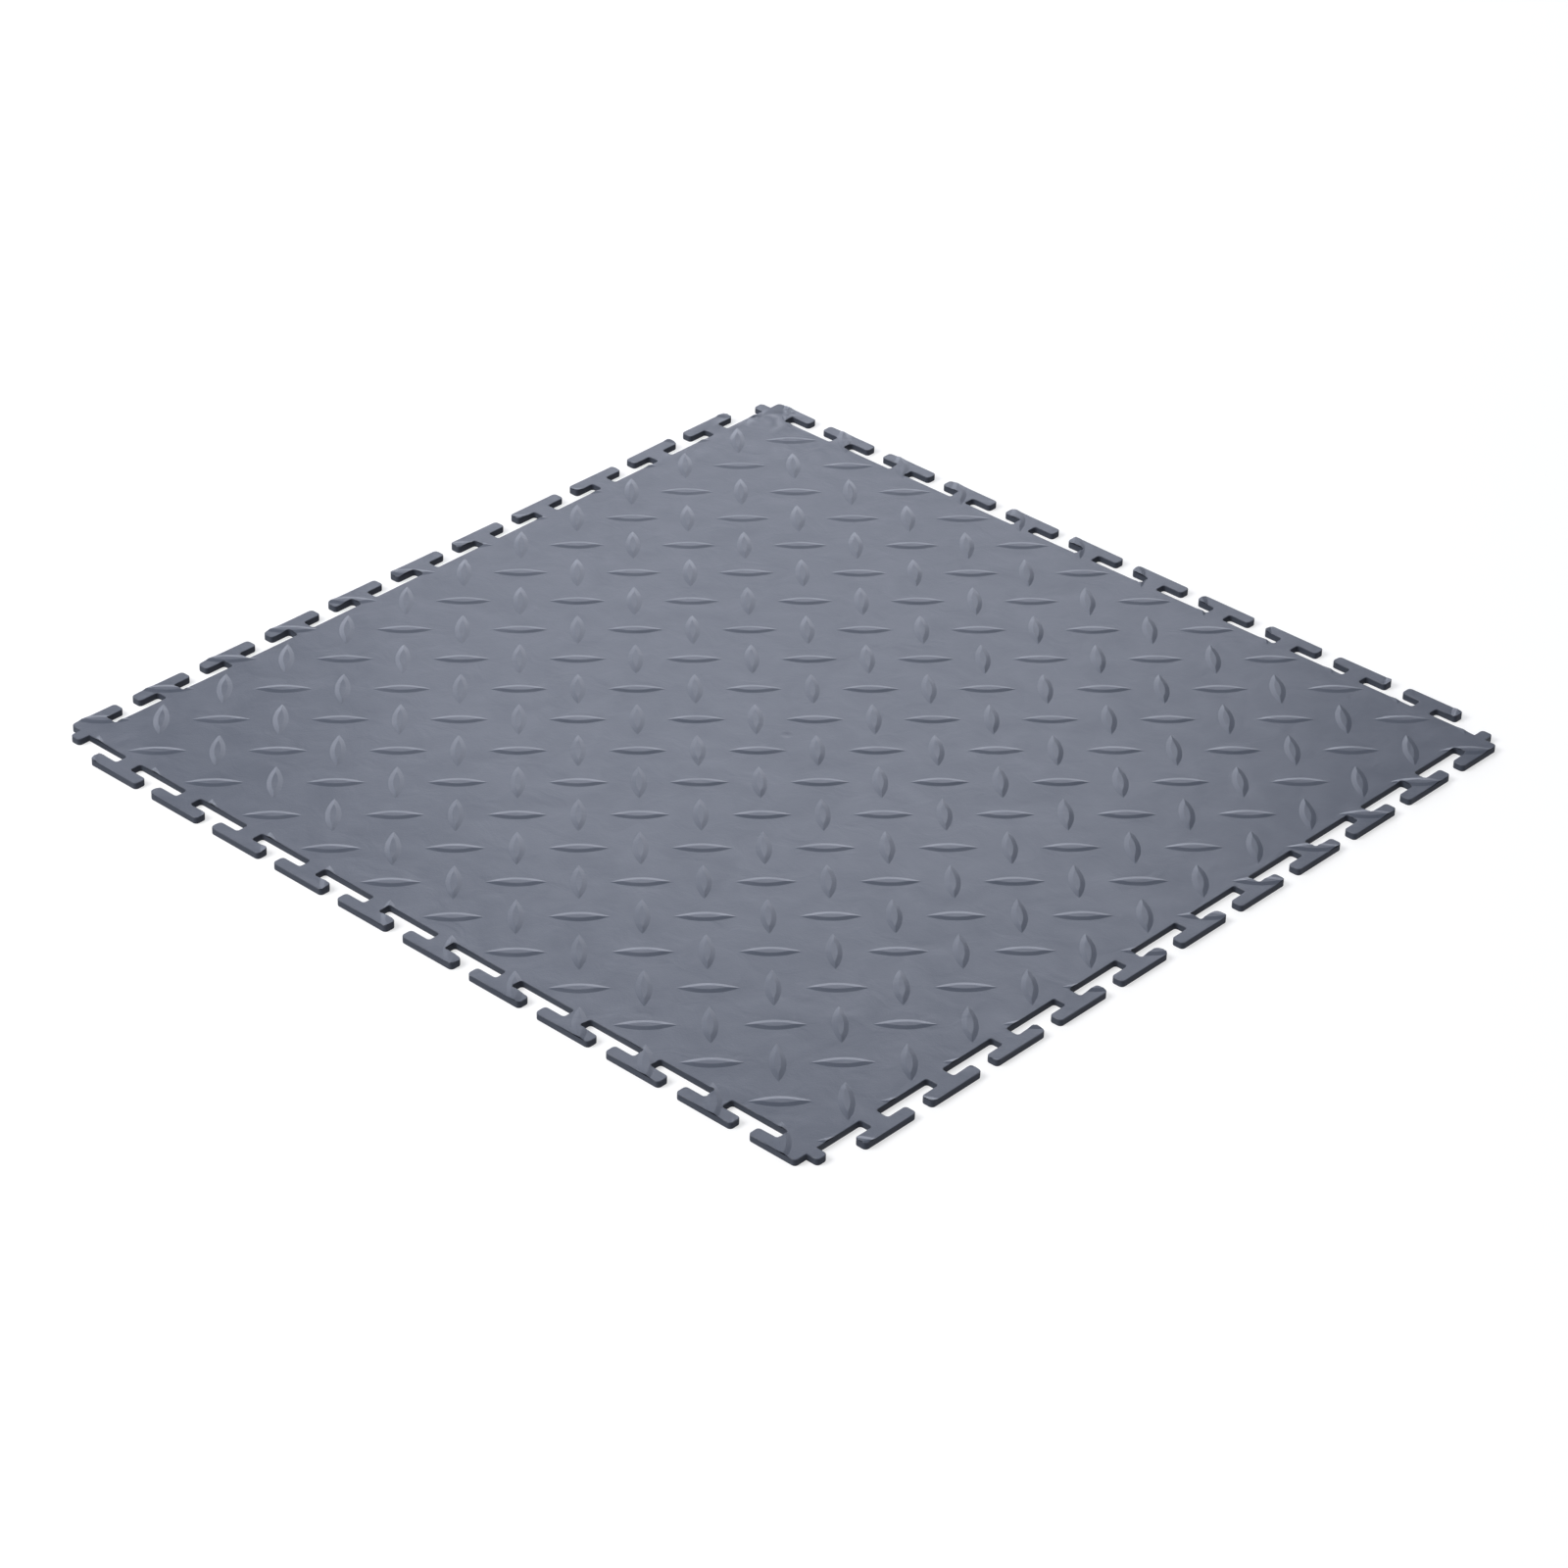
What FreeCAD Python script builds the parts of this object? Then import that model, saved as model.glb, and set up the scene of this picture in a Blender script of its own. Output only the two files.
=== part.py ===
"""Interlocking PVC floor tile: one moulded sheet with T-shaped joint teeth and raised lens lugs.

Frame: +Z up, the origin at the centre of the underside. The tile has four-fold rotational symmetry
about Z, so each pattern below is drawn once, on the -Y side or at the (-X, -Y) corner, and turned.
"""
import FreeCAD, Part
import Sketcher
import os

# Driving dimensions in millimetres, counts as whole numbers: alias, value, meaning
SIZES = [
    ("module_side", "500", "laid size: the distance from one tile's centre to the next"),
    ("sheet_thickness", "3.8", "underside to the plain top surface"),
    ("tooth_count", "11", "T teeth on each side"),
    ("tooth_pitch", "44.1", "from one tooth to the next along a side"),
    ("neck_width", "10.2", "width of a tooth's neck"),
    ("head_thickness", "6.8", "size of a tooth's head, measured outwards from the tile"),
    ("fit_gap", "0.1", "clearance between two laid tiles at every face of the joint"),
    ("tab_side", "6.6", "side of the square tab at each corner of the tile"),
    ("slot_flat", "0.85", "leg of the 45 degree flat in the inner corners of the slots"),
    ("head_flat", "1.05", "leg of the 45 degree flat on the inner corners of the heads"),
    ("head_round", "2", "radius of the outer corners of the heads and tabs"),
    ("lug_row_count", "12", "lug rows across one laid tile"),
    ("lug_length", "29.5", "from point to point of a lug"),
    ("lug_width", "8", "widest place of a lug"),
    ("lug_bevel", "2.7", "width of the sloped band around a lug's flat top"),
    ("lug_height", "0.5", "height of a lug above the sheet"),
    ("trim_margin", "5", "blank cut away outside the joint teeth"),
]

doc = FreeCAD.newDocument("floor_tile_document")
sheet = doc.addObject("Spreadsheet::Sheet", "sizes")
for row, (alias, value, meaning) in enumerate(SIZES, start=1):
    sheet.set(f"A{row}", alias)
    sheet.set(f"B{row}", value)
    sheet.set(f"C{row}", meaning)
    sheet.setAlias(f"B{row}", alias)
doc.recompute()

# Lengths that follow from the driving dimensions
SLOT_DEPTH = "(sizes.head_thickness + 2 * sizes.fit_gap)"
JOINT_DEPTH = f"({SLOT_DEPTH} + sizes.head_thickness)"
BODY_HALF = f"((sizes.module_side - {JOINT_DEPTH} - sizes.fit_gap) / 2)"
SLOT_HALF = "((sizes.tooth_pitch - sizes.neck_width) / 2)"
MOUTH_HALF = "(sizes.neck_width / 2 + sizes.fit_gap)"
HEAD_INNER = f"({BODY_HALF} + {SLOT_DEPTH})"
HEAD_OUTER = f"({BODY_HALF} + {JOINT_DEPTH})"
BLANK_HALF = f"({HEAD_OUTER} + sizes.trim_margin)"
CUT_REACH = "(sizes.module_side / 2 + sizes.lug_length)"
LAST_TOOTH = "((sizes.tooth_count - 1) / 2 + 1 / 4) * sizes.tooth_pitch"
FIRST_TOOTH = "((sizes.tooth_count - 1) / 2 - 1 / 4) * sizes.tooth_pitch"
FIRST_SLOT = f"({FIRST_TOOTH} - sizes.tooth_pitch / 2)"
HEAD_HALF = f"({SLOT_HALF} - sizes.fit_gap)"
STRIP_HALF = "(sizes.tooth_pitch / 2 + sizes.neck_width / 4)"
LUG_PITCH = "(sizes.module_side / sizes.lug_row_count)"
LUG_ARC = "((sizes.lug_length ^ 2 + sizes.lug_width ^ 2) / (4 * sizes.lug_width))"
LUG_SPAN = "(2 * atan(sizes.lug_width / sizes.lug_length))"

# Corner forms for draw_loop
SLOT_CORNER = ("flat", "sizes.slot_flat")
HEAD_INNER_CORNER = ("flat", "sizes.head_flat")
HEAD_OUTER_CORNER = ("round", "sizes.head_round")


def number(expression):
    """The present value of an expression, used as a sketch's first guess."""
    value = sheet.evalExpression(expression)
    return float(getattr(value, "Value", value))


def origin_part(body, role):
    return next(item for item in body.Origin.OriginFeatures if item.Role == role)


def new_sketch(body, name, height="0", offset_x="0", offset_y="0", turn=0.0):
    """A sketch on the body's XY plane, raised, moved and turned about Z."""
    sketch = body.newObject("Sketcher::SketchObject", name)
    sketch.AttachmentSupport = [(origin_part(body, "XY_Plane"), "")]
    sketch.MapMode = "FlatFace"
    turned = FreeCAD.Rotation(FreeCAD.Vector(0, 0, 1), turn)
    sketch.AttachmentOffset = FreeCAD.Placement(FreeCAD.Vector(), turned)
    sketch.setExpression("AttachmentOffset.Base.x", offset_x)
    sketch.setExpression("AttachmentOffset.Base.y", offset_y)
    sketch.setExpression("AttachmentOffset.Base.z", height)
    return sketch


def bind(sketch, kind, *arguments):
    """Add a dimension whose last argument is the expression that drives it."""
    *places, expression = arguments
    index = sketch.addConstraint(Sketcher.Constraint(kind, *places, number(expression)))
    sketch.setExpression(f"Constraints[{index}]", expression)


def draw_loop(sketch, walls):
    """Draw a closed outline of straight walls, with a corner after each wall.

    A wall is (axis, place, corner): "x" stands at a fixed x and runs along Y, "y" the other way
    about, and the two take turns. A corner is None where it is sharp, or (kind, size): "flat" is
    cut off at 45 degrees by legs of that size, and "round" has that radius.
    """
    count = len(walls)
    guess = [number(place) for _, place, _ in walls]
    sharp = []
    for here, (axis, _, _) in enumerate(walls):
        after = (here + 1) % count
        x, y = (guess[here], guess[after]) if axis == "x" else (guess[after], guess[here])
        sharp.append(FreeCAD.Vector(x, y, 0))
    ends, starts, links = list(sharp), [sharp[-1]] + sharp[:-1], {}
    for here, (_, _, corner) in enumerate(walls):
        if corner is None:
            continue
        kind, size = corner
        after = (here + 1) % count
        back = (sharp[here - 1] - sharp[here]).normalize() * number(size)
        ahead = (sharp[after] - sharp[here]).normalize() * number(size)
        ends[here] = sharp[here] + back
        starts[after] = sharp[here] + ahead
        if kind == "flat":
            links[here] = Part.LineSegment(ends[here], starts[after])
        else:
            middle = sharp[here] + (back + ahead) * (1 - 0.5 ** 0.5)
            links[here] = Part.Arc(ends[here], middle, starts[after])
    lines = [sketch.addGeometry(Part.LineSegment(*ends_of), False) for ends_of in zip(starts, ends)]
    for here, (axis, place, corner) in enumerate(walls):
        after = (here + 1) % count
        line, following = lines[here], lines[after]
        across, along = ("DistanceX", "DistanceY") if axis == "x" else ("DistanceY", "DistanceX")
        sketch.addConstraint(Sketcher.Constraint("Vertical" if axis == "x" else "Horizontal", line))
        bind(sketch, across, -1, 1, line, 1, place)
        if corner is None:
            sketch.addConstraint(Sketcher.Constraint("Coincident", line, 2, following, 1))
            continue
        kind, size = corner
        link = sketch.addGeometry(links[here], False)
        first = 1 if sketch.getPoint(link, 1).isEqual(ends[here], 1e-6) else 2
        joint = "Coincident" if kind == "flat" else "Tangent"
        sketch.addConstraint(Sketcher.Constraint(joint, line, 2, link, first))
        sketch.addConstraint(Sketcher.Constraint(joint, link, 3 - first, following, 1))
        if kind == "round":
            bind(sketch, "Radius", link, size)
            continue
        before_corner = "-" if guess[after] > number_along(starts[here], axis) else "+"
        after_corner = "+" if number_along(ends[after], walls[after][0]) > guess[here] else "-"
        bind(sketch, along, -1, 1, line, 2, f"{walls[after][1]} {before_corner} {size}")
        bind(sketch, across, -1, 1, following, 1, f"{place} {after_corner} {size}")


def number_along(point, axis):
    """The coordinate that changes along a wall."""
    return point.y if axis == "x" else point.x


def draw_lens(sketch):
    """Draw a lug's outline: two flat-sided bows of three chords each, which meet in points."""
    reach = "sizes.lug_length / 2"
    shoulder = f"{LUG_ARC} * sin({LUG_SPAN} / 3)"
    bow = f"{LUG_ARC} * cos({LUG_SPAN} / 3) - ({LUG_ARC} - sizes.lug_width / 2)"
    places = [
        (reach, None), (shoulder, bow), (f"-{shoulder}", bow),
        (f"-{reach}", None), (f"-{shoulder}", f"-({bow})"), (shoulder, f"-({bow})"),
    ]
    points = [FreeCAD.Vector(number(x), number(y or "0"), 0) for x, y in places]
    chords = [
        sketch.addGeometry(Part.LineSegment(point, points[index - 5]), False)
        for index, point in enumerate(points)
    ]
    for index, (x, y) in enumerate(places):
        sketch.addConstraint(Sketcher.Constraint("Coincident", chords[index - 1], 2, chords[index], 1))
        bind(sketch, "DistanceX", -1, 1, chords[index], 1, x)
        if y is None:
            sketch.addConstraint(Sketcher.Constraint("PointOnObject", chords[index], 1, -1))
        else:
            bind(sketch, "DistanceY", -1, 1, chords[index], 1, y)


def linear_pattern(body, name, role, length, occurrences):
    pattern = body.newObject("PartDesign::LinearPattern", name)
    pattern.Direction = (origin_part(body, role), [""])
    pattern.setExpression("Length", length)
    pattern.setExpression("Occurrences", occurrences)
    return pattern


def polar_pattern(body, name, angle, occurrences):
    pattern = body.newObject("PartDesign::PolarPattern", name)
    pattern.Axis = (origin_part(body, "Z_Axis"), [""])
    pattern.Angle = angle
    pattern.Occurrences = occurrences
    return pattern


def multi_transform(body, name, original, steps):
    """Repeat a feature, or the whole body if it is None, by several patterns in turn."""
    combined = body.newObject("PartDesign::MultiTransform", name)
    if original is None:
        combined.TransformMode = "Whole shape"
    else:
        combined.Originals = [original]
    combined.Transformations = steps
    body.Tip = combined
    return combined


def pocket_upwards(body, name, sketch):
    """Cut a sketch on the underside right through the sheet, and check that it removes material."""
    before = body.Shape.Volume
    pocket = body.newObject("PartDesign::Pocket", name)
    pocket.Profile = sketch
    pocket.Type = "ThroughAll"
    pocket.Reversed = True
    doc.recompute()
    if not pocket.Shape.Volume < before:
        raise RuntimeError(f"{name} cuts nothing")
    return pocket


def build_outline():
    """A block with the tile's plan and full height, cut from a larger square."""
    body = doc.addObject("PartDesign::Body", "outline")
    sketch = new_sketch(body, "blank_outline")
    draw_loop(sketch, [
        ("x", f"-{BLANK_HALF}", None),
        ("y", f"-{BLANK_HALF}", None),
        ("x", BLANK_HALF, None),
        ("y", BLANK_HALF, None),
    ])
    pad = body.newObject("PartDesign::Pad", "blank")
    pad.Profile = sketch
    pad.setExpression("Length", "sizes.sheet_thickness + sizes.lug_height")
    doc.recompute()
    cut_joint_slots(body)
    cut_corners(body)
    return body


def build_lug_field():
    """The raised lens lugs: one along each diagonal by turns, on a square lattice.

    Lugs along one diagonal stand in columns on the tile's centre line, and a quarter turn of the
    field gives the others. The lattice runs on from tile to tile, so it also covers the joint.
    """
    body = doc.addObject("PartDesign::Body", "lug_field")
    sketch = new_sketch(
        body, "lug_outline", "sizes.sheet_thickness",
        "-sizes.module_side / 2", f"-sizes.module_side / 2 + {LUG_PITCH} / 2", 45)
    draw_lens(sketch)
    lug = body.newObject("PartDesign::Pad", "lug")
    lug.Profile = sketch
    lug.setExpression("Length", "sizes.lug_height")
    doc.recompute()
    faces = {f"Face{index}": face.BoundBox for index, face in enumerate(lug.Shape.Faces, start=1)}
    middle = number("sizes.sheet_thickness + sizes.lug_height / 2")
    sides = [name for name, box in faces.items() if box.ZMin < middle < box.ZMax]
    base = [name for name, box in faces.items() if box.ZMax < middle]
    bevel = body.newObject("PartDesign::Draft", "lug_bevel")
    bevel.Base = (lug, sides)
    bevel.NeutralPlane = (lug, base)
    bevel.setExpression("Angle", "atan(sizes.lug_bevel / sizes.lug_height)")
    doc.recompute()
    columns = linear_pattern(
        body, "lug_columns", "X_Axis", "sizes.module_side", "sizes.lug_row_count + 1")
    rows = linear_pattern(
        body, "lug_rows", "Y_Axis", f"sizes.module_side - {LUG_PITCH}", "sizes.lug_row_count")
    quarter = polar_pattern(body, "lug_quarter_turn", 90, 2)
    multi_transform(body, "lug_lattice", None, [columns, rows, quarter])
    doc.recompute()
    return body


def cut_joint_slots(body):
    """The slots between the teeth: what is left between two slots is a T."""
    left, right = f"-{FIRST_SLOT}", f"-{FIRST_SLOT}"
    sketch = new_sketch(body, "slot_outline")
    draw_loop(sketch, [
        ("y", f"-{BODY_HALF}", SLOT_CORNER),
        ("x", f"{left} - {SLOT_HALF}", SLOT_CORNER),
        ("y", f"-{HEAD_INNER}", HEAD_INNER_CORNER),
        ("x", f"{left} - {MOUTH_HALF}", HEAD_OUTER_CORNER),
        ("y", f"-{HEAD_OUTER}", None),
        ("x", f"{left} - {STRIP_HALF}", None),
        ("y", f"-{CUT_REACH}", None),
        ("x", f"{right} + {STRIP_HALF}", None),
        ("y", f"-{HEAD_OUTER}", HEAD_OUTER_CORNER),
        ("x", f"{right} + {MOUTH_HALF}", HEAD_INNER_CORNER),
        ("y", f"-{HEAD_INNER}", SLOT_CORNER),
        ("x", f"{right} + {SLOT_HALF}", SLOT_CORNER),
    ])
    slot = pocket_upwards(body, "slot", sketch)
    along = linear_pattern(
        body, "slots_along_side", "X_Axis",
        "(sizes.tooth_count - 2) * sizes.tooth_pitch", "sizes.tooth_count - 1")
    around = polar_pattern(body, "slots_around", 360, 4)
    multi_transform(body, "joint_slots", slot, [along, around])
    doc.recompute()


def cut_corners(body):
    """The end slot of a side and the tab that one quarter of the corner square keeps.

    The last tooth of the neighbouring side runs into the body. Its head stops at the body's edge,
    where the next tile's tab begins, and its neck goes on as the square tab.
    """
    tab_reach = f"({BODY_HALF} + sizes.tab_side)"
    neck_side = f"-({FIRST_TOOTH}) - sizes.neck_width / 2"
    head_end = f"-({FIRST_TOOTH}) - {HEAD_HALF}"
    sketch = new_sketch(body, "corner_outline")
    draw_loop(sketch, [
        ("y", f"-{BODY_HALF}", None),
        ("x", f"-{BODY_HALF}", HEAD_OUTER_CORNER),
        ("y", f"-{tab_reach}", HEAD_OUTER_CORNER),
        ("x", f"-{tab_reach}", None),
        ("y", f"-{BODY_HALF} + sizes.fit_gap", HEAD_OUTER_CORNER),
        ("x", f"-{HEAD_OUTER}", None),
        ("y", f"-({LAST_TOOTH}) + sizes.neck_width / 4", None),
        ("x", f"-{CUT_REACH}", None),
        ("y", f"-{CUT_REACH}", None),
        ("x", f"-({FIRST_TOOTH}) + sizes.neck_width / 4", None),
        ("y", f"-{HEAD_OUTER}", HEAD_OUTER_CORNER),
        ("x", head_end, HEAD_INNER_CORNER),
        ("y", f"-{HEAD_INNER}", SLOT_CORNER),
        ("x", neck_side, SLOT_CORNER),
    ])
    corner = pocket_upwards(body, "corner_cut", sketch)
    multi_transform(body, "corner_cuts", corner, [polar_pattern(body, "corners_around", 360, 4)])
    doc.recompute()


def build_tile():
    """The flat sheet and the lugs, both trimmed to the tile's plan and joined.

    The lug field is hundreds of solids, so the last step sets the shape of a plain feature.
    """
    flat = doc.addObject("Part::Box", "flat_sheet")
    for side in ("Length", "Width"):
        flat.setExpression(side, f"2 * {BLANK_HALF}")
    flat.setExpression("Height", "sizes.sheet_thickness")
    flat.setExpression("Placement.Base.x", f"-{BLANK_HALF}")
    flat.setExpression("Placement.Base.y", f"-{BLANK_HALF}")
    lug_field = build_lug_field()
    outline = build_outline()
    moulded_sheet = flat.Shape.common(outline.Shape)
    moulded_lugs = lug_field.Shape.common(outline.Shape)
    tile = doc.addObject("Part::Feature", "floor_tile")
    tile.Shape = moulded_sheet.fuse(moulded_lugs).Solids[0]
    tile.Placement = FreeCAD.Placement()
    tile.Label = "floor_tile"
    return tile


def check(tile):
    """Stop if any feature failed or the tile is not one sound solid."""
    for item in doc.Objects:
        if "Invalid" in item.State or "Error" in item.State:
            raise RuntimeError(f"{item.Label} failed: {item.State}")
    shape = tile.Shape
    if shape.isNull() or not shape.isValid() or len(shape.Solids) != 1:
        raise RuntimeError(f"{tile.Label} is not one sound solid")


tile = build_tile()
check(tile)
os.makedirs("parts", exist_ok=True)
tile.Shape.exportStep(f"parts/{tile.Label}.step")
box = tile.Shape.BoundBox
print(f"{tile.Label}: {box.XLength:.2f} x {box.YLength:.2f} x {box.ZLength:.2f} mm, "
      f"{tile.Shape.Volume / 1000:.1f} cm3")
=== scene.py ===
"""Interlocking PVC floor tile, seen from one corner on a white ground.

Lengths are metres, and the frame is the CAD's: +Z up, the origin at the centre of the underside.
The tile has four-fold rotational symmetry about Z, so its outline is written for the -Y side only.
"""
import bpy
import math
from mathutils import Matrix, Vector, noise
from mathutils.geometry import delaunay_2d_cdt


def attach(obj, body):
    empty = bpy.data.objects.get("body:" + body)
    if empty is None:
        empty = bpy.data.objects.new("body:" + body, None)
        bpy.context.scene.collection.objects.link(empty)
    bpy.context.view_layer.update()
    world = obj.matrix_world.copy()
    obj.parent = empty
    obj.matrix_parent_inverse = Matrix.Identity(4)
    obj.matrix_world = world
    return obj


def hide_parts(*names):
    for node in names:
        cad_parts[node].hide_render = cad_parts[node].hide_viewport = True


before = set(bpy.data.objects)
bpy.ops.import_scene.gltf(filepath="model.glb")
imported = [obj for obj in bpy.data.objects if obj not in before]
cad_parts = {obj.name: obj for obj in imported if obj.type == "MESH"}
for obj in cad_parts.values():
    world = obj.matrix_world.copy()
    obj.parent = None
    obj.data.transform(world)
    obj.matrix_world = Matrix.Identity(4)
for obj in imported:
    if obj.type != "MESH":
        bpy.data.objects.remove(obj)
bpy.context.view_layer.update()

MM = 0.001

# Sizes of the tile
MODULE_SIDE = 500 * MM
SHEET_TOP = 3.8 * MM
TOOTH_COUNT = 11
TOOTH_PITCH = 44.1 * MM
NECK_WIDTH = 10.2 * MM
HEAD_THICKNESS = 6.8 * MM
FIT_GAP = 0.1 * MM
TAB_SIDE = 6.6 * MM
SLOT_ROUND = 1.4 * MM
HEAD_INNER_ROUND = 1.8 * MM
HEAD_ROUND = 2 * MM
LUG_ROWS = 12
LUG_LENGTH = 29.5 * MM
LUG_WIDTH = 8 * MM
LUG_HEIGHT = 0.5 * MM

SLOT_DEPTH = HEAD_THICKNESS + 2 * FIT_GAP
JOINT_DEPTH = SLOT_DEPTH + HEAD_THICKNESS
BODY_HALF = (MODULE_SIDE - JOINT_DEPTH - FIT_GAP) / 2
HEAD_INNER = BODY_HALF + SLOT_DEPTH
HEAD_OUTER = BODY_HALF + JOINT_DEPTH
HEAD_HALF = (TOOTH_PITCH - NECK_WIDTH) / 2 - FIT_GAP
FIRST_TOOTH = ((TOOTH_COUNT - 1) / 2 - 1 / 4) * TOOTH_PITCH
LUG_PITCH = MODULE_SIDE / LUG_ROWS
LUG_ARC = (LUG_LENGTH ** 2 + LUG_WIDTH ** 2) / (4 * LUG_WIDTH)
LUG_CENTRE = LUG_ARC - LUG_WIDTH / 2
RISING = Vector((1, 1)).normalized()
FALLING = Vector((-1, 1)).normalized()

# Sections, in millimetres
# A lug from its rim inwards: distance from the rim, height as a share of the lug's
LUG_SECTION = (
    (-0.2, 0), (0, 0), (0.2, 0.05), (1.25, 0.49), (2.3, 0.93), (2.55, 0.99), (2.75, 1))
# Top edge of the sheet: inset from the wall, drop below the surface
RIM_SECTION = ((0, 0.35), (0.1, 0.1), (0.35, 0))
# The wall from the underside up to the rim, with the parting groove: inset, height
WALL_SECTION = ((0.25, 0), (0.07, 0.07), (0, 0.3), (0, 2.3), (0.1, 2.4), (0.1, 2.55), (0, 2.65))

# Fineness of the mesh
ROUND_STEPS = 4
LUG_STEPS = 10
GRID_STEP = 4 * MM
GATE_RINGS = 5
MERGE_DISTANCE = 1e-7
SLOPE_STEP = 0.3 * MM
# How far from its corner, towards the triangle's middle, a lug's slope is taken
CORNER_NUDGE = 0.1

# Unevenness of the moulded surface: depth, length of a wave
BROAD_WAVES = (0.2 * MM, 50 * MM)
SMALL_WAVES = (0.15 * MM, 13 * MM)
# Flow wrinkles that fan out at the corner furthest from the camera
FLOW_WAVES = (0.4 * MM, 12 * MM)
FLOW_CORNER = (-BODY_HALF, BODY_HALF)
FLOW_REACH = 170 * MM
FLOW_SQUEEZE = 0.35
FLOW_FAN_RADIUS = 110 * MM
FLOW_WANDER = 25 * MM
FLOW_WANDER_LENGTH = 40 * MM
# The gate mark in the middle: a shallow dimple
GATE_RADIUS = 3.6 * MM
GATE_DEPTH = 0.2 * MM

# Finishes, as (name, darker colour, lighter colour, least roughness, specular level): the walls and
# the underside are duller than the top, and their darker colours are painted shade
TOP_FINISH = ("grey_pvc", (0.070, 0.081, 0.108), (0.090, 0.101, 0.130), 0.282, 0.5)
EDGE_PAINTED_SHADE_FINISH = ("grey_pvc_edge_painted_shade", (0.05, 0.058, 0.078), (0.06, 0.068, 0.09), 0.55, 0.2)
DULLER_PATCHES = 0.06
# Noise patterns of a finish: scale per metre, detail, distortion
FINE_GRAIN = (1800.0, 2.0, 0.0)
CREASES = (60.0, 3.0, 1.0)
MOTTLE = (24.0, 5.0, 1.2)
PATCHES = (50.0, 3.0, 0.0)
USUAL_NOISE = (0.3, 0.7)
CELL_GRAIN_SCALE = 900.0
CELL_GRAIN_SHARE = 0.6
# Strength and height of a relief
GRAIN_RELIEF = (0.12, 0.2 * MM)
CREASE_RELIEF = (1.0, 0.2 * MM)

# Lamps, as (name, degrees round from the camera's side, degrees above the floor, distance, width,
# height, watts, colour): those at the back make the sheen and the lugs' bright slopes, and the
# softbox lights the form from the left
COOL = (0.93, 0.97, 1.1)
WHITE = (1, 1, 1)
LAMPS = (
    ("back_panel", 179, 35, 1.7, 0.8, 0.48, 2.5, COOL),
    ("back_left_panel", 208, 30, 5.0, 1.4, 1.4, 18.0, COOL),
    ("back_strip", 184, 15, 3.0, 2.0, 0.5, 13.5, COOL),
    ("front_softbox", 290, 45, 3.5, 1.8, 1.8, 112, WHITE),
)
ROOM_COLOUR = (0.94, 0.98, 1.08)
ROOM_STRENGTH = 0.3
FLOOR_COLOUR = 0.45
FLOOR_GLOW = 0.6
FLOOR_REACH = 6
FLOOR_DROP = 0.05 * MM

# Camera fitted to the outline in the photograph, degrees and metres
CAMERA_AZIMUTH = 41.964
CAMERA_ELEVATION = 32.103
CAMERA_ROLL = -1.576
CAMERA_DISTANCE = 2.4202
CAMERA_SHIFT_RIGHT = 1.05 * MM
CAMERA_SHIFT_DOWN = -21.306 * MM
FOCAL_PIXELS = 4977.6
IMAGE_PIXELS = 1600
SENSOR_WIDTH = 36.0


def side_corners():
    """Corners of the -Y side from its first tooth to the +X end, as (x, y, radius).

    The last tooth merges with the body's corner: its head stops at the body's edge, and its neck
    goes on as the square tab.
    """
    corners = []
    for index in range(TOOTH_COUNT):
        centre = -FIRST_TOOTH + index * TOOTH_PITCH
        neck_left, neck_right = centre - NECK_WIDTH / 2, centre + NECK_WIDTH / 2
        head_left, head_right = centre - HEAD_HALF, centre + HEAD_HALF
        corners += [
            (neck_left, -BODY_HALF, SLOT_ROUND),
            (neck_left, -HEAD_INNER, SLOT_ROUND),
            (head_left, -HEAD_INNER, HEAD_INNER_ROUND),
            (head_left, -HEAD_OUTER, HEAD_ROUND),
        ]
        if index < TOOTH_COUNT - 1:
            corners += [
                (head_right, -HEAD_OUTER, HEAD_ROUND),
                (head_right, -HEAD_INNER, HEAD_INNER_ROUND),
                (neck_right, -HEAD_INNER, SLOT_ROUND),
                (neck_right, -BODY_HALF, SLOT_ROUND),
            ]
    tab_reach = BODY_HALF + TAB_SIDE
    head_end = BODY_HALF - FIT_GAP
    return corners + [
        (head_end, -HEAD_OUTER, HEAD_ROUND),
        (head_end, -tab_reach, 0),
        (tab_reach, -tab_reach, HEAD_ROUND),
        (tab_reach, -BODY_HALF, HEAD_ROUND),
        (BODY_HALF, -BODY_HALF, 0),
    ]


def tile_outline():
    """The whole outline, anticlockwise, as (point, outward direction) pairs.

    A point moved along its outward direction by -d lies on the outline inset by d.
    """
    side = side_corners()
    corners = []
    for quarter in range(4):
        for x, y, radius in side:
            for _ in range(quarter):
                x, y = -y, x
            corners.append((Vector((x, y)), radius))
    outline = []
    for index, (corner, radius) in enumerate(corners):
        arriving = (corner - corners[index - 1][0]).normalized()
        leaving = (corners[(index + 1) % len(corners)][0] - corner).normalized()
        out_before = Vector((arriving.y, -arriving.x))
        out_after = Vector((leaving.y, -leaving.x))
        if radius == 0:
            outline.append((corner, out_before + out_after))
            continue
        bulges = arriving.cross(leaving) > 0
        centre = corner + (leaving - arriving) * radius
        for step in range(ROUND_STEPS + 1):
            angle = math.pi / 2 * step / ROUND_STEPS
            outward = out_before * math.cos(angle) + out_after * math.sin(angle)
            outline.append((centre + outward * (radius if bulges else -radius), outward))
    return outline


def inset(outline, distance):
    return [point - outward * distance for point, outward in outline]


def lug_places():
    """Centre and direction of every lug: one diagonal on the columns, the other on the rows."""
    reach = LUG_ROWS // 2 + 1
    for i in range(-reach, reach + 1):
        for j in range(-reach, reach + 1):
            yield Vector((i, j + 0.5)) * LUG_PITCH, RISING
            yield Vector((i + 0.5, j)) * LUG_PITCH, FALLING


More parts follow.
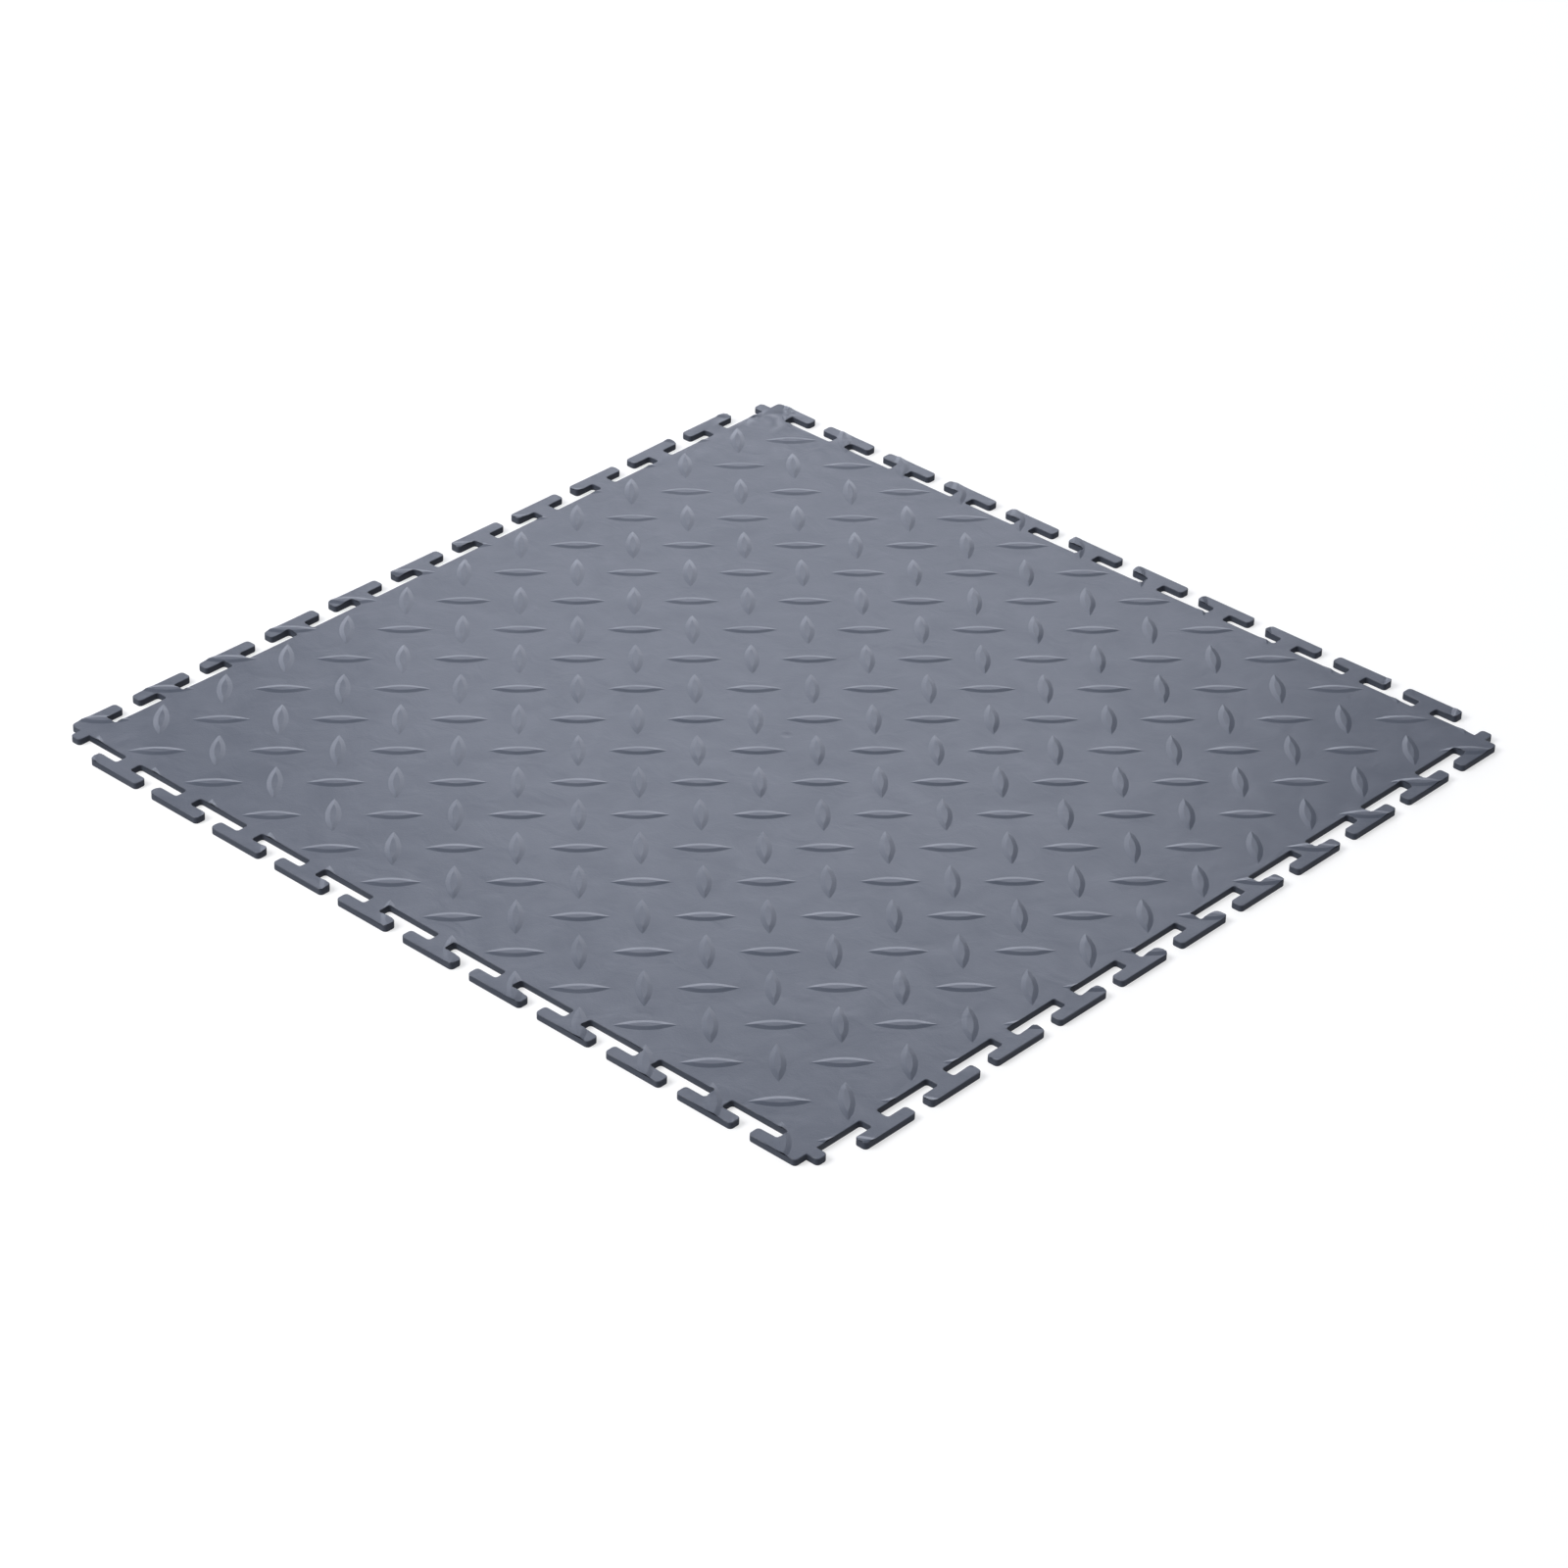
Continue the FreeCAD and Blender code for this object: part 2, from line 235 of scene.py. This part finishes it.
def lug_ring(centre, along, distance):
    """A lug's outline inset by a distance: two arcs that meet in points."""
    across = Vector((-along.y, along.x))
    arc = LUG_ARC - distance
    span = math.acos(LUG_CENTRE / arc)
    ring = []
    for side in (1, -1):
        for step in range(LUG_STEPS):
            angle = span - 2 * span * step / LUG_STEPS
            ring.append(centre + side * (
                along * arc * math.sin(angle) + across * (arc * math.cos(angle) - LUG_CENTRE)))
    return ring


def rim_distance(point, centre, along):
    """How far a point lies inside a lug's rim; it is negative outside."""
    offset = point - centre
    across = abs(offset.dot(Vector((-along.y, along.x))))
    return LUG_ARC - math.hypot(offset.dot(along), across + LUG_CENTRE)


def nearest_lug(point):
    """The lug nearest to a point, as its centre and direction."""
    column, row = point.x / LUG_PITCH, point.y / LUG_PITCH
    rising = Vector((round(column), round(row - 0.5) + 0.5)) * LUG_PITCH, RISING
    falling = Vector((round(column - 0.5) + 0.5, round(row))) * LUG_PITCH, FALLING
    return max(rising, falling, key=lambda lug: rim_distance(point, *lug))


def along_section(section, distance):
    """Read a section of (distance, value) pairs in millimetres, linear between its points."""
    if distance <= section[0][0]:
        return section[0][1]
    for (near, low), (far, high) in zip(section, section[1:]):
        if distance <= far:
            return low + (high - low) * (distance - near) / (far - near)
    return section[-1][1]


def waves(place, settings):
    """Smooth noise from 0 to the depth of the waves."""
    depth, length = settings
    return (noise.noise(place / length) * 0.5 + 0.5) * depth


def unevenness(point):
    """How far the surface lies below its nominal height, which is never exceeded."""
    place = Vector((point.x, point.y, 0))
    offset = point - Vector(FLOW_CORNER)
    distance = offset.length
    turn = math.atan2(offset.y, offset.x)
    wander = noise.noise(place / FLOW_WANDER_LENGTH) * FLOW_WANDER
    fan = Vector((distance * FLOW_SQUEEZE, turn * FLOW_FAN_RADIUS, wander))
    strength = max(0, 1 - distance / FLOW_REACH)
    return (
        waves(place, BROAD_WAVES) + waves(place, SMALL_WAVES) + waves(fan, FLOW_WAVES) * strength)


def gate_mark(point):
    """Depth of the gate mark, which fades out towards its edge."""
    share = min(1, point.length / GATE_RADIUS)
    return GATE_DEPTH * (0.5 + 0.5 * math.cos(math.pi * share))


def surface_height(point):
    """Height of the moulded surface without its rounded rim."""
    depth = rim_distance(point, *nearest_lug(point)) / MM
    lug = along_section(LUG_SECTION, depth) * LUG_HEIGHT
    return SHEET_TOP + lug - unevenness(point) - gate_mark(point)


def ground_slope(point):
    """Slope of the surface between the lugs, along x and y."""
    slopes = []
    for side in (Vector((SLOPE_STEP, 0)), Vector((0, SLOPE_STEP))):
        rise = sum(form(point - side) - form(point + side) for form in (unevenness, gate_mark))
        slopes.append(rise / (2 * SLOPE_STEP))
    return Vector(slopes)


def lug_slope(point):
    """Slope of the lug at a point, along x and y; it is zero between the lugs."""
    centre, along = nearest_lug(point)
    depth = rim_distance(point, centre, along) / MM
    for (near, low), (far, high) in zip(LUG_SECTION, LUG_SECTION[1:]):
        if near <= depth < far:
            across = Vector((-along.y, along.x))
            offset = point - centre
            sideways = offset.dot(across)
            from_arc = (
                along * offset.dot(along) + across * (sideways + math.copysign(LUG_CENTRE, sideways)))
            return from_arc.normalized() * (low - high) / (far - near) * LUG_HEIGHT / MM
    return Vector((0, 0))


def lug_rings(first):
    """Every lug's rings from its rim inwards, and the ridge edges that join the rings' tips.

    The edges' points are numbered on from the number given.
    """
    rings, ridges = [], []
    for centre, along in lug_places():
        if max(abs(centre.x), abs(centre.y)) >= HEAD_OUTER + LUG_LENGTH / 2:
            continue
        for distance, _ in LUG_SECTION:
            if distance > LUG_SECTION[0][0]:
                for tip in (first, first + LUG_STEPS):
                    ridges.append((tip - 2 * LUG_STEPS, tip))
            rings.append(lug_ring(centre, along, distance * MM))
            first += 2 * LUG_STEPS
    return rings, ridges


def ground_points():
    """Points between the outlines: a grid over the whole body, and rings in the gate mark."""
    steps = round(BODY_HALF / GRID_STEP)
    points = [
        Vector((i, j)) * GRID_STEP
        for i in range(-steps, steps + 1) for j in range(-steps, steps + 1)
    ]
    for ring in range(1, GATE_RINGS + 1):
        for place in range(4 * ring):
            angle = 2 * math.pi * place / (4 * ring)
            radius = GATE_RADIUS * ring / GATE_RINGS
            points.append(Vector((math.cos(angle), math.sin(angle))) * radius)
    return points


def closed_loop(first, count):
    return [(first + k, first + (k + 1) % count) for k in range(count)]


def triangulate(loops, points, edges=()):
    """Triangulate closed loops, free points and more edges inside the first loop.

    Gives the points found, the triangles, and for each point the inputs that it stands for.
    """
    places, edges = [], list(edges)
    for loop in loops:
        edges += closed_loop(len(places), len(loop))
        places += loop
    places += points
    border = list(range(len(loops[0])))
    all_triangles = 0
    found, _, triangles, origins, _, within = delaunay_2d_cdt(
        places, edges, [border], all_triangles, MERGE_DISTANCE)
    inside = [triangle for triangle, borders in zip(triangles, within) if borders]
    kept = sorted({corner for triangle in inside for corner in triangle})
    renumbered = {old: new for new, old in enumerate(kept)}
    return (
        [found[old] for old in kept],
        [tuple(renumbered[corner] for corner in triangle) for triangle in inside],
        [origins[old] for old in kept],
    )


def corner_normals(points, triangles, leans):
    """A normal for each corner of each triangle, so that a lug's ridge and rim stay sharp.

    On the rounded rim a point has a lean, as its outward part and its share of the upright.
    """
    slopes = [ground_slope(point) for point in points]
    normals = []
    for triangle in triangles:
        middle = sum((points[corner] for corner in triangle), Vector((0, 0))) / 3
        for corner in triangle:
            slope = slopes[corner] + lug_slope(points[corner].lerp(middle, CORNER_NUDGE))
            normal = Vector((-slope.x, -slope.y, 1)).normalized()
            if leans[corner]:
                outward, upright = leans[corner]
                normal = (outward + normal * upright).normalized()
            normals.append(normal)
    return normals


def build_top(outline):
    """The top's vertices, its corners' normals, its triangles, and the vertex that each outline
    point became.
    """
    count = len(outline)
    rim = [inset(outline, distance * MM) for distance, _ in RIM_SECTION]
    rings, ridges = lug_rings(len(rim) * count)
    points, triangles, origins = triangulate(rim + rings, ground_points(), ridges)
    vertices, leans, border = [], [], {}
    for index, point in enumerate(points):
        height, lean = surface_height(point), None
        on_rim = [origin for origin in origins[index] if origin < len(rim) * count]
        if on_rim:
            level, place = divmod(on_rim[0], count)
            height -= RIM_SECTION[level][1] * MM
            angle = math.pi / 2 * (1 - level / (len(rim) - 1))
            lean = Vector((*outline[place][1].normalized(), 0)) * math.sin(angle), math.cos(angle)
            if level == 0:
                border[place] = index
        vertices.append(Vector((*point, height)))
        leans.append(lean)
    return vertices, corner_normals(points, triangles, leans), triangles, border


def build_tile():
    """The tile as one mesh: a triangulated top, ringed walls and a flat underside.

    Where a lug crosses the outline, the top's border has points that the walls don't share. They
    keep the lug's full height, so slits up to about 0.8 mm high stay open above the wall there.
    """
    outline = tile_outline()
    count = len(outline)
    vertices, loop_normals, faces, border = build_top(outline)
    top_faces = len(faces)
    outward = [Vector((*direction.normalized(), 0)) for _, direction in outline]
    rings = []
    for distance, height in WALL_SECTION:
        rings.append(list(range(len(vertices), len(vertices) + count)))
        vertices += [Vector((*point, height * MM)) for point in inset(outline, distance * MM)]
    rings.append([border[place] for place in range(count)])
    for lower, upper in zip(rings, rings[1:]):
        for place in range(count):
            after = (place + 1) % count
            faces.append((lower[place], lower[after], upper[after], upper[place]))
            loop_normals += [outward[place], outward[after], outward[after], outward[place]]
    _, triangles, _ = triangulate([inset(outline, WALL_SECTION[0][0] * MM)], [])
    faces += [tuple(rings[0][corner] for corner in reversed(triangle)) for triangle in triangles]
    loop_normals += [Vector((0, 0, -1))] * (3 * len(triangles))
    mesh = bpy.data.meshes.new("moulded_sheet")
    mesh.from_pydata(vertices, [], faces)
    mesh.materials.append(pvc_material(*TOP_FINISH))
    # The walls and the underside take the edge finish, whose darker colour is painted shade
    mesh.materials.append(pvc_material(*EDGE_PAINTED_SHADE_FINISH))
    for index, face in enumerate(mesh.polygons):
        face.material_index = 0 if index < top_faces else 1
    mesh.normals_split_custom_set(loop_normals)
    mesh.update()
    piece = bpy.data.objects.new("moulded_sheet", mesh)
    bpy.context.scene.collection.objects.link(piece)
    return piece


def node(tree, kind, *wires, **settings):
    """Add a shader node, set its inputs and properties, and wire (socket, output) pairs to it."""
    made = tree.nodes.new(kind)
    for name, value in settings.items():
        if hasattr(made, name):
            setattr(made, name, value)
        else:
            made.inputs[name.replace("_", " ")].default_value = value
    for name, output in wires:
        tree.links.new(output, made.inputs[name])
    return made


def noise_pattern(tree, place, settings):
    scale, detail, distortion = settings
    made = node(
        tree, "ShaderNodeTexNoise", ("Vector", place), Scale=scale, Detail=detail,
        Distortion=distortion)
    return made.outputs["Fac"]


def spread(tree, pattern, low, high):
    """Stretch the usual range of a noise pattern so that it runs from low to high."""
    least, most = USUAL_NOISE
    made = node(
        tree, "ShaderNodeMapRange", ("Value", pattern), From_Min=least, From_Max=most,
        To_Min=low, To_Max=high)
    return made.outputs["Result"]


def pvc_material(name, dark, light, roughness, specular):
    """Moulded PVC with a fine grain, soft creases, a faint mottle and patches of duller finish."""
    material = bpy.data.materials.new(name)
    material.use_nodes = True
    tree = material.node_tree
    tree.nodes.clear()
    place = node(tree, "ShaderNodeTexCoord").outputs["Object"]
    cells = node(tree, "ShaderNodeTexVoronoi", ("Vector", place), Scale=CELL_GRAIN_SCALE)
    grain = node(
        tree, "ShaderNodeMath", ("Value", cells.outputs["Distance"]), operation="MULTIPLY_ADD")
    grain.inputs[1].default_value = CELL_GRAIN_SHARE
    tree.links.new(noise_pattern(tree, place, FINE_GRAIN), grain.inputs[2])
    strength, height = CREASE_RELIEF
    creases = node(
        tree, "ShaderNodeBump", ("Height", noise_pattern(tree, place, CREASES)),
        Strength=strength, Distance=height)
    strength, height = GRAIN_RELIEF
    relief = node(
        tree, "ShaderNodeBump", ("Height", grain.outputs["Value"]),
        ("Normal", creases.outputs["Normal"]), Strength=strength, Distance=height)
    mottle = spread(tree, noise_pattern(tree, place, MOTTLE), 0, 1)
    colour = node(tree, "ShaderNodeMix", ("Factor", mottle), data_type="RGBA")
    colour.inputs["A"].default_value = (*dark, 1)
    colour.inputs["B"].default_value = (*light, 1)
    patches = noise_pattern(tree, place, PATCHES)
    dullness = spread(tree, patches, roughness, roughness + DULLER_PATCHES)
    shader = node(
        tree, "ShaderNodeBsdfPrincipled", ("Normal", relief.outputs["Normal"]),
        ("Base Color", colour.outputs["Result"]), ("Roughness", dullness),
        Specular_IOR_Level=specular)
    node(tree, "ShaderNodeOutputMaterial", ("Surface", shader.outputs["BSDF"]))
    return material


def towards(turn, elevation):
    """Direction from the tile, given as degrees round from the camera's side and above the floor."""
    around, above = math.radians(CAMERA_AZIMUTH + turn), math.radians(elevation)
    return Vector((
        math.sin(around) * math.cos(above), -math.cos(around) * math.cos(above), math.sin(above)))


def add_camera():
    """Place the camera as fitted, rolled and shifted a little from a straight look at the origin."""
    azimuth, roll = math.radians(CAMERA_AZIMUTH), math.radians(CAMERA_ROLL)
    back = towards(0, CAMERA_ELEVATION)
    right = Vector((math.cos(azimuth), math.sin(azimuth), 0))
    up = back.cross(right)
    rolled_right = right * math.cos(roll) - up * math.sin(roll)
    rolled_up = up * math.cos(roll) + right * math.sin(roll)
    turn = Matrix((rolled_right, rolled_up, back)).transposed().to_4x4()
    data = bpy.data.cameras.new("camera")
    data.sensor_width = SENSOR_WIDTH
    data.lens = SENSOR_WIDTH * FOCAL_PIXELS / IMAGE_PIXELS
    camera = bpy.data.objects.new("camera", data)
    place = (
        back * CAMERA_DISTANCE - rolled_right * CAMERA_SHIFT_RIGHT + rolled_up * CAMERA_SHIFT_DOWN)
    camera.matrix_world = Matrix.Translation(place) @ turn
    bpy.context.scene.collection.objects.link(camera)
    bpy.context.scene.camera = camera


def add_lamps():
    """Rectangular area lamps that face the tile and aren't seen themselves."""
    for name, turn, elevation, distance, width, height, power, colour in LAMPS:
        data = bpy.data.lights.new(name, "AREA")
        data.shape = "RECTANGLE"
        data.size, data.size_y = width, height
        data.energy = power
        data.color = colour
        light = bpy.data.objects.new(name, data)
        light.visible_camera = False
        direction = towards(turn, elevation)
        light.location = direction * distance
        light.rotation_euler = direction.to_track_quat("Z", "Y").to_euler()
        bpy.context.scene.collection.objects.link(light)


def add_world():
    world = bpy.data.worlds.new("studio")
    bpy.context.scene.world = world
    world.use_nodes = True
    tree = world.node_tree
    tree.nodes.clear()
    background = node(
        tree, "ShaderNodeBackground", Color=(*ROOM_COLOUR, 1), Strength=ROOM_STRENGTH)
    node(tree, "ShaderNodeOutputWorld", ("Surface", background.outputs["Background"]))


def floor_material():
    """White to the camera and in reflections, yet dull enough not to light the walls from below."""
    material = bpy.data.materials.new("pale_ground")
    material.use_nodes = True
    tree = material.node_tree
    tree.nodes.clear()
    rays = node(tree, "ShaderNodeLightPath").outputs
    seen = rays["Is Camera Ray"]
    for kind in ("Is Glossy Ray", "Is Transmission Ray"):
        either = node(tree, "ShaderNodeMath", operation="MAXIMUM")
        tree.links.new(seen, either.inputs[0])
        tree.links.new(rays[kind], either.inputs[1])
        seen = either.outputs["Value"]
    strength = node(tree, "ShaderNodeMath", operation="MULTIPLY")
    tree.links.new(seen, strength.inputs[0])
    strength.inputs[1].default_value = FLOOR_GLOW
    matte = node(tree, "ShaderNodeBsdfDiffuse", Color=(FLOOR_COLOUR, FLOOR_COLOUR, FLOOR_COLOUR, 1))
    glow = node(tree, "ShaderNodeEmission", ("Strength", strength.outputs["Value"]))
    both = node(tree, "ShaderNodeAddShader")
    tree.links.new(matte.outputs["BSDF"], both.inputs[0])
    tree.links.new(glow.outputs["Emission"], both.inputs[1])
    node(tree, "ShaderNodeOutputMaterial", ("Surface", both.outputs["Shader"]))
    return material


def add_floor():
    mesh = bpy.data.meshes.new("floor")
    corners = [(-1, -1), (1, -1), (1, 1), (-1, 1)]
    mesh.from_pydata([(x * FLOOR_REACH, y * FLOOR_REACH, 0) for x, y in corners], [], [(0, 1, 2, 3)])
    mesh.materials.append(floor_material())
    floor = bpy.data.objects.new("floor", mesh)
    floor.location.z = -FLOOR_DROP
    bpy.context.scene.collection.objects.link(floor)


tile = build_tile()
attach(tile, "root")
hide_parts("floor_tile")
add_floor()
add_world()
add_lamps()
add_camera()
bpy.context.scene.view_settings.view_transform = "Standard"
